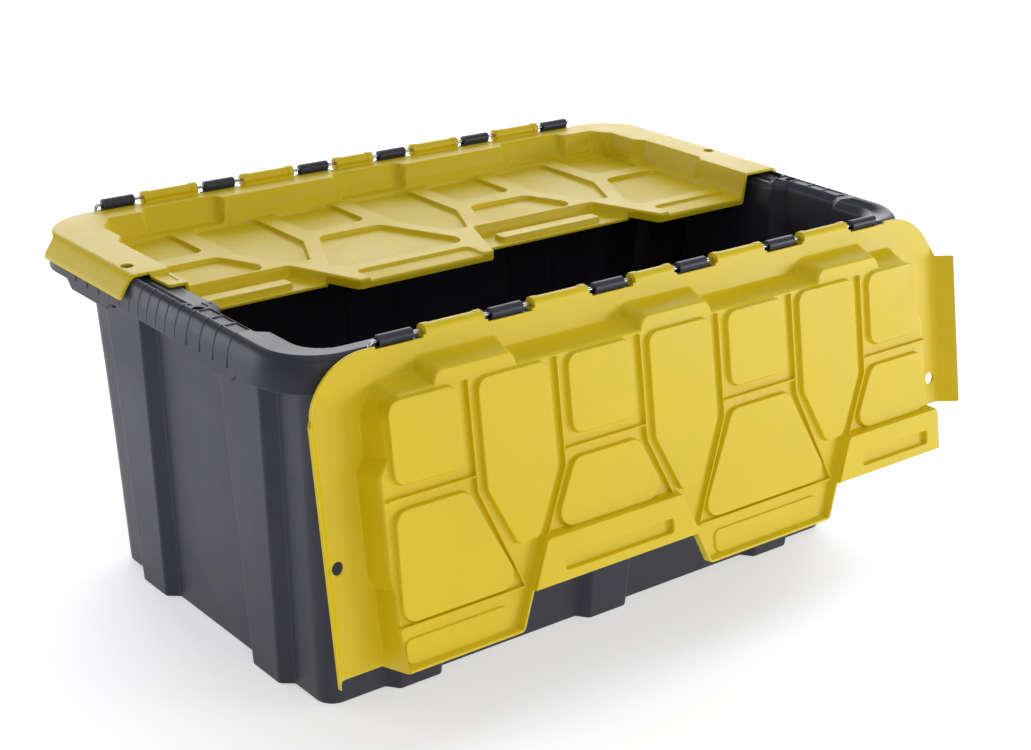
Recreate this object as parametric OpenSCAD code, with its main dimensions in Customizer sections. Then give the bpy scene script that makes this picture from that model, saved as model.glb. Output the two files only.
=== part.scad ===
// Flip-lid storage tote: one moulded tote, two interlocking hinged lids, two hinge rods.
// Origin: centre of the tote's underside.  +X along the long side, -Y front, +Z up.

/* [Which piece] */
// Piece to draw
// Opening angle of the front lid at rest, degrees
front_open = 260; // [0:5:260]
// Opening angle of the rear lid at rest, degrees
rear_open = 0; // [0:5:260]

/* [Tote] */
// Rim length at the skirt's lower edge
rim_length = 652; // [600:4:800]
// Rim width at the skirt's lower edge
rim_width = 407; // [360:1:500]
// Height of the rim's top face
rim_top = 301; // [200:1:400]
// Draft of each long wall: how far it leans out, base to rim
draft_y = 19.6; // [12:0.2:24]
// Draft of each short wall: how far it leans out, base to rim
draft_x = 19; // [12:0.2:24]
// Wall thickness
wall_t = 3; // [2.4:0.1:3.6]
// Floor thickness
floor_t = 3.5; // [2.5:0.1:6]
// How far the pilasters stand out of the wall
pilaster_proud = 10; // [9:0.5:12]
// Pilaster width at the rim
pilaster_top_w = 80; // [60:1:84]
// Pilaster width at the base
pilaster_base_w = 47; // [30:1:60]
// Depth of the rim's skirt
skirt_depth = 26; // [18:1:34]
// Extra depth of the skirt over the side pilasters
skirt_drop = 10; // [4:1:14]
// Plan radius of the rim's corners
rim_corner_r = 51.5; // [44:0.5:56]
// Length of each handle slot
slot_length = 84; // [60:1:90]
// Width of each handle slot
slot_width = 8; // [5:0.5:9]

/* [Lids] */
// Moulded thickness of the lids
lid_t = 2.5; // [2:0.1:2.6]
// Depth of the well from the lid's margin to its floor
well_depth = 20.5; // [15:0.5:22]
// How far each tooth reaches past the middle
tooth_reach = 27; // [20:1:30]
// Slope of the tooth sides, sideways per unit of reach
tooth_slope = 0.42; // [0.3:0.02:0.5]
// Depth of the stiffening pads and ribs
pad_depth = 3.5; // [2:0.5:3.5]
// Diameter of the four lock holes
lock_hole_d = 10; // [6:0.5:11]

/* [Hinges] */
// Hinge rod diameter
rod_d = 3; // [2.4:0.2:4]
// Outer diameter of the lid's hinge barrels
barrel_d = 9.6; // [9:0.2:10]
// Outer diameter of the tote's hinge barrels
knuckle_d = 8.8; // [8:0.2:9]

/* [Fits] */
// Gap between a closed lid and the rim under it
seat_gap = 0.5; // [0.3:0.1:1]
// Radial clearance of the rod in every barrel
rod_clearance = 0.08; // [0.03:0.01:0.1]
// Gap on each side of the line where two teeth meet
tooth_gap = 1.5; // [1:0.1:2.5]
// Sideways gap between a lid barrel and the knuckle base next to it
knuckle_gap = 1; // [0.6:0.1:1.5]

/* [Hidden] */
$fn = 48;
eps = 0.01;
hx = rim_length / 2;
hy = rim_width / 2;
rim_t = 3;
// Upper end of the walls, at the rim
top_hx = hx - 33;
top_hy = hy - 21.5;
// Lower end of the walls, on the floor
base_hx = top_hx - draft_x;
base_hy = top_hy - draft_y;
base_corner_r = 22;
top_corner_r = 32;
// Centres of the rim's corner arcs
arc_x = hx - rim_corner_r;
arc_y = hy - rim_corner_r;
pitch = (rim_length - 4) / 4;
crenel_x = pitch * 1.19;
side_pilaster_y = hy * 0.442;
lock_x = hx - 15;
lock_y = 55;
// Hinge lines
lid_lift = 4;
axis_y = hy + 1.5;
axis_z = rim_top + seat_gap + lid_t + lid_lift;
knuckle_x = [rim_length * 0.0664, rim_length * 0.2176, rim_length * 0.3689];
knuckle_base_w = 35;
knuckle_barrel_w = 29;
rod_r = rod_d / 2;
bore_r = rod_r + rod_clearance;
rod_tail = 14;
// Lid levels, measured from the hinge line
n_top = -lid_lift;
n_under = n_top - lid_t;
n_floor = n_top - well_depth;
n_floor_under = n_floor - lid_t;
n_pad = n_floor_under - pad_depth;
n_ledge = n_pad - 3;
n_ledge_under = n_ledge - lid_t;
n_lip = n_ledge + 0.5;
tooth_pad_depth = 1.5;
ledge_rib_height = 4.3;
// Lid distances from the hinge line
r_mid = axis_y;
r_tip = r_mid + tooth_reach;
r_step = r_mid - 35;
r_ledge = r_mid - 2;
r_split = r_mid * 0.517;
lid_end = hx - 4;
skirt_end = hx + 4;
lid_skirt = 15.5;
well_end = hx - 42;
well_end_near = hx - 48;
tooth_end = well_end - lid_t - tooth_gap;
well_side = 31;
crenel_side = 22;
crenel_w = pilaster_top_w - 2 * (wall_t + lid_t + 3);

function unit(v) = v / norm(v);
function bend(a, b, c, d, n) = let (p = b + unit(a - b) * d, q = b + unit(c - b) * d)
    [for (i = [0 : n]) let (t = i / n) (1 - t) * (1 - t) * p + 2 * t * (1 - t) * b + t * t * q];
function soft(p, d, n = 4) = let (m = len(p))
    [for (k = [0 : m - 1]) each bend(p[(k + m - 1) % m], p[k], p[(k + 1) % m], d, n)];
function arc(cx, cy, r, a0, a1, n = 12) =
    [for (i = [0 : n]) let (a = a0 + (a1 - a0) * i / n) [cx + r * cos(a), cy + r * sin(a)]];
function tooth_line(b, s, r) = b + s * tooth_slope * (r - r_mid);

module at_corners(x, y) for (sx = [-1, 1], sy = [-1, 1]) translate([sx * x, sy * y, 0]) children();
module both_x() for (s = [0, 1]) mirror([s, 0, 0]) children();
module both_y() for (s = [0, 1]) mirror([0, s, 0]) children();

// Tapered block with rounded upright corners
module frustum(x0, y0, r0, z0, x1, y1, r1, z1) {
    hull() {
        translate([0, 0, z0]) at_corners(x0 - r0, y0 - r0) cylinder(r = r0, h = eps);
        translate([0, 0, z1 - eps]) at_corners(x1 - r1, y1 - r1) cylinder(r = r1, h = eps);
    }
}

// Upright prisms, wider at the rim, where the pilasters stand
module pilaster_zones(inset) {
    a = pilaster_base_w / 2 - inset;
    b = pilaster_top_w / 2 - inset;
    face = [[-a, -1], [a, -1], [b, rim_top + 2], [-b, rim_top + 2]];
    for (x = [-crenel_x, 0, crenel_x])
        translate([x, hy + 20, 0]) rotate([90, 0, 0]) linear_extrude(2 * hy + 40) polygon(face);
    for (y = [-side_pilaster_y, side_pilaster_y])
        translate([-hx - 20, y, 0]) rotate([90, 0, 90]) linear_extrude(2 * hx + 40) polygon(face);
}

module tote_walls() {
    frustum(base_hx, base_hy, base_corner_r, 0, top_hx, top_hy, top_corner_r, rim_top - 1);
    intersection() {
        frustum(base_hx + pilaster_proud, base_hy + pilaster_proud, base_corner_r, 0,
                top_hx + pilaster_proud, top_hy + pilaster_proud, top_corner_r, rim_top - 1);
        pilaster_zones(0);
    }
}

module tote_cavity() {
    rise = floor_t / rim_top;
    frustum(base_hx + draft_x * rise - wall_t, base_hy + draft_y * rise - wall_t,
            base_corner_r - wall_t, floor_t,
            top_hx - wall_t, top_hy - wall_t, top_corner_r - wall_t, rim_top + 1);
    intersection() {
        frustum(base_hx + pilaster_proud + draft_x * rise - wall_t,
                base_hy + pilaster_proud + draft_y * rise - wall_t, base_corner_r, floor_t,
                top_hx + pilaster_proud - wall_t, top_hy + pilaster_proud - wall_t,
                top_corner_r, rim_top + 1);
        pilaster_zones(wall_t);
    }
    frustum(top_hx - wall_t - 0.5, top_hy - wall_t - 0.5, 28, rim_top - 6,
            top_hx + 2.5, top_hy + 2, 28, rim_top + eps);
}

// Rim section, measured outward from the corner arc's centre
function rim_section(inner) = let (r = rim_corner_r, z = rim_top, s = skirt_depth) [
    [inner, z], [r - 8.5, z], [r - 6.5, z - 1.5], [r - 1.7, z - 12], [r, z - s],
    [r - 2.6, z - s], [r - 4.3, z - 12.6], [r - 9, z - rim_t], [inner, z - rim_t]];

module rim_blank() {
    for (a = [[1, 1, 0], [-1, 1, 90], [-1, -1, 180], [1, -1, 270]])
        translate([a[0] * arc_x, a[1] * arc_y, 0]) rotate([0, 0, a[2]])
            intersection() {
                rotate_extrude() polygon(rim_section(0));
                translate([0, 0, rim_top - skirt_depth - 1]) cube([hx, hx, skirt_depth + 2]);
            }
    both_x() translate([arc_x, arc_y, 0]) rotate([90, 0, 0])
        linear_extrude(2 * arc_y) polygon(rim_section(-30));
    both_y() translate([-arc_x, arc_y, 0]) rotate([90, 0, 90])
        linear_extrude(2 * arc_x) polygon(rim_section(-30));
}

// Deeper skirt over each side pilaster and the webs that tie it to the wall
module rim_stiffeners() {
    z = rim_top - skirt_depth;
    both_x() both_y() {
        translate([0, side_pilaster_y + 30, 0]) rotate([90, 0, 0]) linear_extrude(60)
            polygon([[hx, z + 1], [hx + 0.4, z - skirt_drop], [hx - 2.2, z - skirt_drop],
                     [hx - 2.6, z + 1]]);
        for (y = [side_pilaster_y - 30, side_pilaster_y + 27.5])
            translate([base_hx, y, z - skirt_drop]) cube([hx - 1.2 - base_hx, 2.5, skirt_drop + 1]);
        for (y = [side_pilaster_y - 30, side_pilaster_y + 27.5])
            translate([base_hx, y, z]) cube([hx - 2.4 - base_hx, 2.5, 14]);
        for (y = [side_pilaster_y - 30, side_pilaster_y + 27.5, 8, slot_length / 2 + 2])
            translate([base_hx, y, z + 10]) cube([hx - 6.5 - base_hx, 2.5, 12 + rim_t / 2]);
    }
    for (x = knuckle_x, e = [-1, 1]) both_x() both_y()
        translate([x + e * (knuckle_base_w / 2 - 1.5) - 1.25, base_hy, z])
            cube([2.5, hy - 5.5 - base_hy, skirt_depth - rim_t / 2]);
}

// Inner bar behind each handle slot, which a lid's tongue rests on
module handle_bars() both_x()
    translate([top_hx - wall_t - 0.5, -slot_length / 2 - 3, rim_top - 9])
        cube([lock_x - slot_width / 2 - top_hx + wall_t + 3, slot_length + 6, 8]);

module handle_cuts() both_x() {
    translate([lock_x - 2, -slot_length / 2, rim_top - 20]) cube([slot_width, slot_length, 30]);
    translate([top_hx - 6, -slot_length / 2, rim_top - 2.7])
        cube([lock_x - top_hx + 6.5, slot_length, 10]);
    both_y() {
        translate([lock_x, lock_y, rim_top - 12]) cylinder(d = lock_hole_d, h = 20);
        for (i = [0 : 2]) translate([lock_x - 8, 61.5 + 19.3 * i, rim_top - 1])
            cube([15, 17.3, 5]);
    }
}

module knuckle(x) translate([x, 0, 0]) {
    w = knuckle_base_w;
    b = knuckle_barrel_w;
    translate([-w / 2, -axis_y - 2.5, axis_z - 16]) cube([w, 8, 9 - seat_gap]);
    translate([-w / 2, -axis_y - 2.5, axis_z - 8]) cube([w, 6.2, 5]);
    translate([-b / 2, -axis_y - 2.5, axis_z - 8]) cube([b, 5, 8]);
    translate([-b / 2, -axis_y, axis_z]) rotate([0, 90, 0]) cylinder(d = knuckle_d, h = b);
}

module tote() color([0.13, 0.13, 0.15]) difference() {
    union() {
        tote_walls();
        rim_blank();
        rim_stiffeners();
        handle_bars();
        for (x = knuckle_x) both_y() both_x() knuckle(x);
    }
    tote_cavity();
    handle_cuts();
    both_y() translate([-hx, -axis_y, axis_z]) rotate([0, 90, 0]) cylinder(r = bore_r, h = 2 * hx);
}

// Lids are drawn closed: X along the hinge, Y away from it, Z up from the hinge line.
module margin_outline() polygon(concat(
    [[-lid_end, r_tip - 1]],
    arc(-(lid_end - 52), 54, 52, 180, 270), arc(lid_end - 52, 54, 52, 270, 360),
    [[lid_end, r_step + 3], [well_end - 4, r_step + 3], [well_end - 4, r_mid],
     [-(well_end - 4), r_mid], [-(well_end - 4), r_tip - 1]]));

function near_side(e) = let (c = crenel_w / 2 + e, k = crenel_x, f = well_side - e, g = crenel_side - e)
    [[-well_end_near - e, 80], [-well_end_near - e, 46], [-well_end_near + 15 - e, f],
     [-k - c - 2, f], [-k - c, g], [-k + c, g], [-k + c + 2, f], [-c - 2, f], [-c, g],
     [c, g], [c + 2, f], [k - c - 2, f], [k - c, g], [k + c, g], [k + c + 2, f],
     [well_end_near - 15 + e, f], [well_end_near + e, 46], [well_end_near + e, 80],
     [well_end + e, 86]];

// Free edge from the right end to the left end; e pulls the edge back
function free_edge(e) = let (b = pitch, g = tooth_gap + e * 1.09, t = r_tip - e, s = r_step - e) [
    [tooth_line(b, -1, s) - g, s], [tooth_line(b, -1, t) - g, t], [tooth_line(0, 1, t) + g, t],
    [tooth_line(0, 1, s) + g, s], [tooth_line(-b, -1, s) - g, s], [tooth_line(-b, -1, t) - g, t]];

module well_outline(e, f) polygon(concat(near_side(e), [[well_end + e, r_step - f]], free_edge(f),
    [[-tooth_end - e, r_tip - f], [-tooth_end - e, r_step], [-well_end - e, r_step - 6],
     [-well_end - e, 86]]));

// Band of lid thickness that follows the free edge
module edge_band() difference() {
    well_outline(lid_t, 0);
    well_outline(lid_t, lid_t);
}

// Ledges that the other lid's teeth come down on
module ledge_outline(b0, b1, r0) polygon([[b0[0], r0], [b1[0], r0], [b1[1], r_ledge], [b0[1], r_ledge]]);

module ledges() {
    g = tooth_gap;
    r0 = r_step - lid_t;
    k = 1.09 * lid_t;
    spans = [
        [[tooth_line(-pitch, -1, r0) - g - k, tooth_line(-pitch, -1, r_ledge) - g - k],
         [tooth_line(0, 1, r0) + g + k, tooth_line(0, 1, r_ledge) + g + k]],
        [[tooth_line(pitch, -1, r0) - g - k, tooth_line(pitch, -1, r_ledge) - g - k],
         [well_end + lid_t, well_end + lid_t]]];
    for (s = spans) translate([0, 0, n_ledge_under]) linear_extrude(lid_t)
        ledge_outline(s[0], s[1], r0);
    translate([well_end, r0, n_ledge_under])
        cube([lid_t, r_ledge - r0, n_under - seat_gap - n_ledge_under]);
}

module square_pad(x, e) polygon(soft([[x - 30 - e, 37 - e], [x + 30 + e, 37 - e],
    [x + 30 + e, r_split - 9 + e], [x - 30 - e, r_split - 9 + e]], 9));
module broad_pad(x, r, e) let (w = 33, s = 0.5 * (r - r_split - 10)) polygon(soft(
    [[x - w - e, r_split + 9 - e], [x + w + e, r_split + 9 - e],
     [x + w + s + e, r + e], [x - w - s - e, r + e]], 11));
module end_pad(x, r, e, side) intersection() {
    broad_pad(x, r, e);
    translate([side > 0 ? x - 100 : -well_end + 3 - e, 0])
        square([side > 0 ? well_end - 3 + e - x + 100 : 200, r_tip]);
}
module tall_pad(x, e) polygon(soft([[x - 32 - e, 37 - e], [x + 32 + e, 37 - e],
    [x + 32 + e, r_split + 11], [x + 9 + e, r_step - 4 + e], [x - 9 - e, r_step - 4 + e],
    [x - 32 - e, r_split + 11]], 8));

module pads(e) {
    w = pitch / 162;
    for (x = [-1.5, -0.5, 0.5, 1.5]) square_pad(x * pitch, e);
    for (x = [-1, 0, 1]) tall_pad(x * pitch, e);
    end_pad(-1.5 * pitch, r_mid - 9, e, -1);
    broad_pad(0.5 * pitch, r_mid - 9, e);
    broad_pad(-0.5 * pitch, r_step - 6, e);
    end_pad(1.5 * pitch, r_step - 6, e, 1);
}

module rib(p, q) let (d = unit(q - p), m = [-d[1], d[0]] * 1)
    polygon([p - m, q - m, q + m, p + m]);

module ribs() {
    k = r_split + 11;
    for (c = [-1, 0, 1], s = [-1, 1]) let (x = c * pitch, far = (s == (c == 0 ? 1 : -1))) {
        rib([x + s * 40.5, 36], [x + s * 40.5, k + 0.5]);
        rib([x + s * 40.5, k], [x + s * (far ? 7 : 18), far ? r_mid - 10 : r_step - 2]);
    }
    for (c = [-1.5, -0.5, 0.5, 1.5]) {
        a = c < -1 ? -well_end : (c - 0.5) * pitch + 34;
        b = c > 1 ? well_end : (c + 0.5) * pitch - 34;
        rib([a, r_split], [b, r_split]);
    }
    rib([-tooth_end, r_mid - 6], [-pitch - 7, r_mid - 6]);
    rib([7, r_mid - 6], [pitch - 7, r_mid - 6]);
}

module tooth_pads(e) for (x = [[-well_end + 5, -pitch - 24], [24, pitch - 24]])
    polygon(soft([[x[0] - e, r_mid + 5 - e], [x[1] + e, r_mid + 5 - e],
                  [x[1] - 3 + e, r_tip - 5 + e], [x[0] - e, r_tip - 5 + e]], 5));

module ledge_ribs(e) for (x = [[-pitch + 26, -24], [pitch + 26, well_end - 12]])
    polygon(soft([[x[0] - e, r_mid - 21 - e], [x[1] + e, r_mid - 21 - e],
                  [x[1] + e, r_mid - 8 + e], [x[0] - e, r_mid - 8 + e]], 4));

module lid_barrels() {
    k = knuckle_x;
    w = knuckle_base_w / 2 + knuckle_gap;
    for (s = [[-k[0] + w, k[0] - w], [k[0] + w, k[1] - w], [k[1] + w, k[2] - w],
              [-k[1] + w, -k[0] - w], [-k[2] + w, -k[1] - w]]) {
        translate([s[0], 0, 0]) rotate([0, 90, 0]) cylinder(d = barrel_d, h = s[1] - s[0]);
        translate([s[0], -1, n_under]) cube([s[1] - s[0], 4.5, lid_t + 1]);
        for (x = [s[0], s[1] - 6])
            translate([x, 0, 0]) rotate([0, 90, 0]) cylinder(d = barrel_d + 1, h = 6);
    }
}

module lid_skirt_piece(r1) translate([0, r1, 0]) rotate([90, 0, 0]) linear_extrude(r1 - 42)
    polygon([[lid_end - 2, n_top], [lid_end, n_top], [skirt_end, n_top - lid_skirt],
             [skirt_end, n_top - lid_skirt - 2.5], [skirt_end - lid_t, n_top - lid_skirt - 2.5],
             [skirt_end - lid_t, n_top - lid_skirt - 1], [lid_end - 2, n_under]]);

module lid() difference() {
    union() {
        translate([0, 0, n_under]) linear_extrude(lid_t) margin_outline();
        translate([0, 0, n_floor_under]) linear_extrude(n_top - n_floor_under)
            well_outline(lid_t, 0);
        translate([0, 0, n_pad]) linear_extrude(pad_depth + 1) {
            pads(lid_t - 0.5);
            ribs();
        }
        translate([0, 0, n_floor_under - tooth_pad_depth]) linear_extrude(tooth_pad_depth + 1)
            tooth_pads(1.5);
        // Down-turned lip along the free edge
        translate([0, 0, n_lip]) linear_extrude(n_floor - n_lip) edge_band();
        translate([0, 0, n_ledge_under]) linear_extrude(n_floor - n_ledge_under) intersection() {
            edge_band();
            translate([-hx, r_step - lid_t]) square([2 * hx, r_ledge - r_step + lid_t]);
        }
        ledges();
        translate([0, 0, n_ledge - eps]) linear_extrude(ledge_rib_height) ledge_ribs(lid_t - 0.5);
        translate([well_end, r_step, n_under - lid_t - seat_gap])
            cube([19, r_ledge - r_step, lid_t]);
        translate([well_end, r_step, n_under - lid_t - seat_gap]) cube([19, 3, lid_t + 1]);
        mirror([1, 0, 0]) lid_skirt_piece(r_tip - 1);
        lid_skirt_piece(r_step + 3);
        lid_barrels();
    }
    // The well, open above and along the free edge
    translate([0, 0, n_floor]) linear_extrude(60) polygon(concat(near_side(0),
        [[well_end, r_tip + 5], [-tooth_end, r_tip + 5], [-tooth_end, r_step],
         [-well_end, r_step - 6], [-well_end, 86]]));
    translate([0, 0, n_pad + lid_t]) linear_extrude(30) pads(0);
    translate([0, 0, n_floor - tooth_pad_depth]) linear_extrude(30) tooth_pads(0);
    translate([0, 0, n_ledge_under - 1]) linear_extrude(ledge_rib_height + 1) ledge_ribs(0);
    // Room for the tote's knuckles
    for (x = knuckle_x) both_x()
        translate([x - knuckle_base_w / 2 - knuckle_gap, -10, -12])
            cube([knuckle_base_w + 2 * knuckle_gap, 15, 30]);
    for (x = [-lock_x, lock_x]) translate([x, r_mid - lock_y, -30])
        cylinder(d = lock_hole_d, h = 60);
    translate([-hx, 0, 0]) rotate([0, 90, 0]) cylinder(r = bore_r, h = 2 * hx);
}

module placed_lid(angle) translate([0, -axis_y, axis_z]) rotate([angle, 0, 0]) lid();
module front_lid() color([0.85, 0.72, 0.07]) placed_lid(front_open);
module rear_lid() color([0.85, 0.72, 0.07]) rotate([0, 0, 180]) placed_lid(rear_open);

module hinge_rod() {
    x0 = knuckle_x[2] + knuckle_base_w / 2 + 3.5;
    translate([-x0, -axis_y, axis_z]) rotate([0, 90, 0]) cylinder(r = rod_r, h = 2 * x0 - 2);
    translate([-x0, -axis_y, axis_z]) sphere(r = rod_r);
    translate([-x0, -axis_y, axis_z - rod_tail]) cylinder(r = rod_r, h = rod_tail);
}
module front_hinge_rod() color([0.75, 0.76, 0.78]) hinge_rod();
module rear_hinge_rod() color([0.75, 0.76, 0.78]) mirror([0, 1, 0]) hinge_rod();

tote();
front_lid();
rear_lid();
front_hinge_rod();
rear_hinge_rod();
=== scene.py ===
"""Storage tote with two interlocking hinged lids: looks, light and camera.

All sizes are in millimetres and become metres when a mesh is made.  The tote stands on
z = 0 with its long side along X and its front towards -Y.
"""

import logging
import math
from dataclasses import dataclass, field
from enum import Enum
from typing import Callable, Iterable, Optional, Sequence

import bmesh
import bpy
import numpy as np
from mathutils import Matrix, Vector
from mathutils.geometry import delaunay_2d_cdt


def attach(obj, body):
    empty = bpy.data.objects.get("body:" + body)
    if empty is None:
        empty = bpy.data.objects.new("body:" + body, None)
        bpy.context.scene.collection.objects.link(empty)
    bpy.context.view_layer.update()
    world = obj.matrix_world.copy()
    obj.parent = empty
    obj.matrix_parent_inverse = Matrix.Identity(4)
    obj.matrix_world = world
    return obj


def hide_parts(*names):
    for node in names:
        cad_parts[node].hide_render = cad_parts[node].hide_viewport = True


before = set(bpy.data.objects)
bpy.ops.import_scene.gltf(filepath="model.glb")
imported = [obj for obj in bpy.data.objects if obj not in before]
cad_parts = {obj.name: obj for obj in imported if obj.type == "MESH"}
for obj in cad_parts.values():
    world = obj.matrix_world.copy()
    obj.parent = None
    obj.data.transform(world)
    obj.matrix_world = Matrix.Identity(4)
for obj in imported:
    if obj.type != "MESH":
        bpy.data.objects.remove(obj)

LOG = logging.getLogger("tote")
MM = 0.001
HINGE_Y, HINGE_Z = 205.0, 308.0             # place of both hinge lines, mirrored in Y
KNUCKLES = (43.3, 141.9, 240.5)             # places of the tote's knuckles, mirrored in X
BORE_RADIUS = 1.75                          # clears the 1.5 mm wire radius
Point = tuple[float, float]


# ---------------------------------------------------------------- plan outlines and reliefs

def rounded(corners: Sequence[tuple[float, float, float]], steps: int = 5) -> np.ndarray:
    """Round the corners of a polygon, with the same number of points at every corner.

    Args:
        corners: x, y and radius of each corner; a radius of 0 keeps a single point.
        steps: segments in each rounded corner.

    Returns:
        The outline's points, one row each.
    """
    out: list[Point] = []
    count = len(corners)
    for k, (x, y, radius) in enumerate(corners):
        here = np.array([x, y])
        if radius <= 0:
            out.append((x, y))
            continue
        before = np.array(corners[k - 1][:2]) - here
        after = np.array(corners[(k + 1) % count][:2]) - here
        la, lb = float(np.linalg.norm(before)), float(np.linalg.norm(after))
        before, after = before / la, after / lb
        half = math.acos(max(-1.0, min(1.0, float(before @ after)))) / 2
        reach = min(radius / max(math.tan(half), 1e-6), 0.49 * la, 0.49 * lb)
        true = reach * math.tan(half)
        middle = (before + after)
        size = float(np.linalg.norm(middle))
        if size < 1e-9:
            out.extend([(x, y)] * (steps + 1))
            continue
        centre = here + middle / size * (true / math.sin(half))
        start, stop = here + before * reach - centre, here + after * reach - centre
        a0 = math.atan2(start[1], start[0])
        turn = (math.atan2(stop[1], stop[0]) - a0 + math.pi) % (2 * math.pi) - math.pi
        for i in range(steps + 1):
            a = a0 + turn * i / steps
            out.append((centre[0] + true * math.cos(a), centre[1] + true * math.sin(a)))
    return np.array(out, dtype=float)


def swell(u: np.ndarray, soft: float) -> np.ndarray:
    """Give max(u, 0) with its corner rounded over soft on each side.

    Args:
        u: values to clip.
        soft: half the width of the rounding.

    Returns:
        The softly clipped values.
    """
    return np.where(u <= -soft, 0.0, np.where(u >= soft, u, (u + soft) ** 2 / (4 * soft)))


@dataclass
class Loop:
    """A closed plan outline that runs anticlockwise, or an open line."""

    points: np.ndarray
    closed: bool = True

    def edges(self) -> tuple[np.ndarray, np.ndarray]:
        """Return the start and end points of every edge."""
        if self.closed:
            return self.points, np.roll(self.points, -1, axis=0)
        return self.points[:-1], self.points[1:]

    def distance(self, where: np.ndarray) -> np.ndarray:
        """Measure how deep points lie inside the outline.

        Args:
            where: points, one row each.

        Returns:
            Distance to the outline, positive inside; for an open line always negative.
        """
        a, b = self.edges()
        ab = b - a
        square = np.maximum((ab ** 2).sum(axis=1), 1e-12)
        out = np.empty(len(where))
        for k in range(0, len(where), 3000):
            q = where[k:k + 3000, None, :]
            aq = q - a
            t = np.clip((aq * ab).sum(axis=2) / square, 0, 1)
            gap = aq - t[..., None] * ab
            far = np.sqrt((gap ** 2).sum(axis=2).min(axis=1))
            if self.closed:
                spans = (a[:, 1] > q[..., 1]) != (b[:, 1] > q[..., 1])
                rise = np.where(np.abs(ab[:, 1]) < 1e-12, 1e-12, ab[:, 1])
                cross = a[:, 0] + (q[..., 1] - a[:, 1]) * ab[:, 0] / rise
                inside = (spans & (q[..., 0] < cross)).sum(axis=1) % 2 == 1
                far = np.where(inside, far, -far)
            else:
                far = -far
            out[k:k + 3000] = far
        return out

    def ring(self, inset: float) -> np.ndarray:
        """Offset the outline inward.

        Args:
            inset: distance inward; negative goes outward.  An open line moves to its left.

        Returns:
            The offset outline's points.
        """
        if abs(inset) < 1e-9:
            return self.points
        p = self.points
        before = np.roll(p, 1, axis=0) if self.closed else np.vstack([2 * p[0] - p[1], p[:-1]])
        after = np.roll(p, -1, axis=0) if self.closed else np.vstack([p[1:], 2 * p[-1] - p[-2]])
        d0, d1 = p - before, after - p
        d0 /= np.maximum(np.linalg.norm(d0, axis=1, keepdims=True), 1e-9)
        d1 /= np.maximum(np.linalg.norm(d1, axis=1, keepdims=True), 1e-9)
        n0 = np.stack([-d0[:, 1], d0[:, 0]], axis=1)
        n1 = np.stack([-d1[:, 1], d1[:, 0]], axis=1)
        mid = n0 + n1
        scale = np.maximum(1 + (n0 * n1).sum(axis=1, keepdims=True), 0.4)
        return p + mid / scale * inset


def box_loop(x0: float, y0: float, x1: float, y1: float, radius: float) -> Loop:
    """Return a rectangle's outline with rounded corners."""
    return Loop(rounded([(x0, y0, radius), (x1, y0, radius), (x1, y1, radius), (x0, y1, radius)]))


def circle_loop(x: float, y: float, radius: float, count: int = 32) -> Loop:
    """Return a circle's outline."""
    turns = np.arange(count) * 2 * math.pi / count
    return Loop(np.stack([x + radius * np.cos(turns), y + radius * np.sin(turns)], axis=1))


def strip_loop(path: Sequence[Point], half: float) -> Loop:
    """Outline a narrow rib that follows a line.

    Args:
        path: the line's points.
        half: half the rib's width.

    Returns:
        The rib's outline.
    """
    line = Loop(np.array(path, dtype=float), closed=False)
    return Loop(np.vstack([line.ring(-half), line.ring(half)[::-1]]))


class Side(Enum):
    """Which faces of a moulded sheet a relief shows on."""

    BOTH = "both"
    TOP = "top"
    UNDER = "under"


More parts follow.
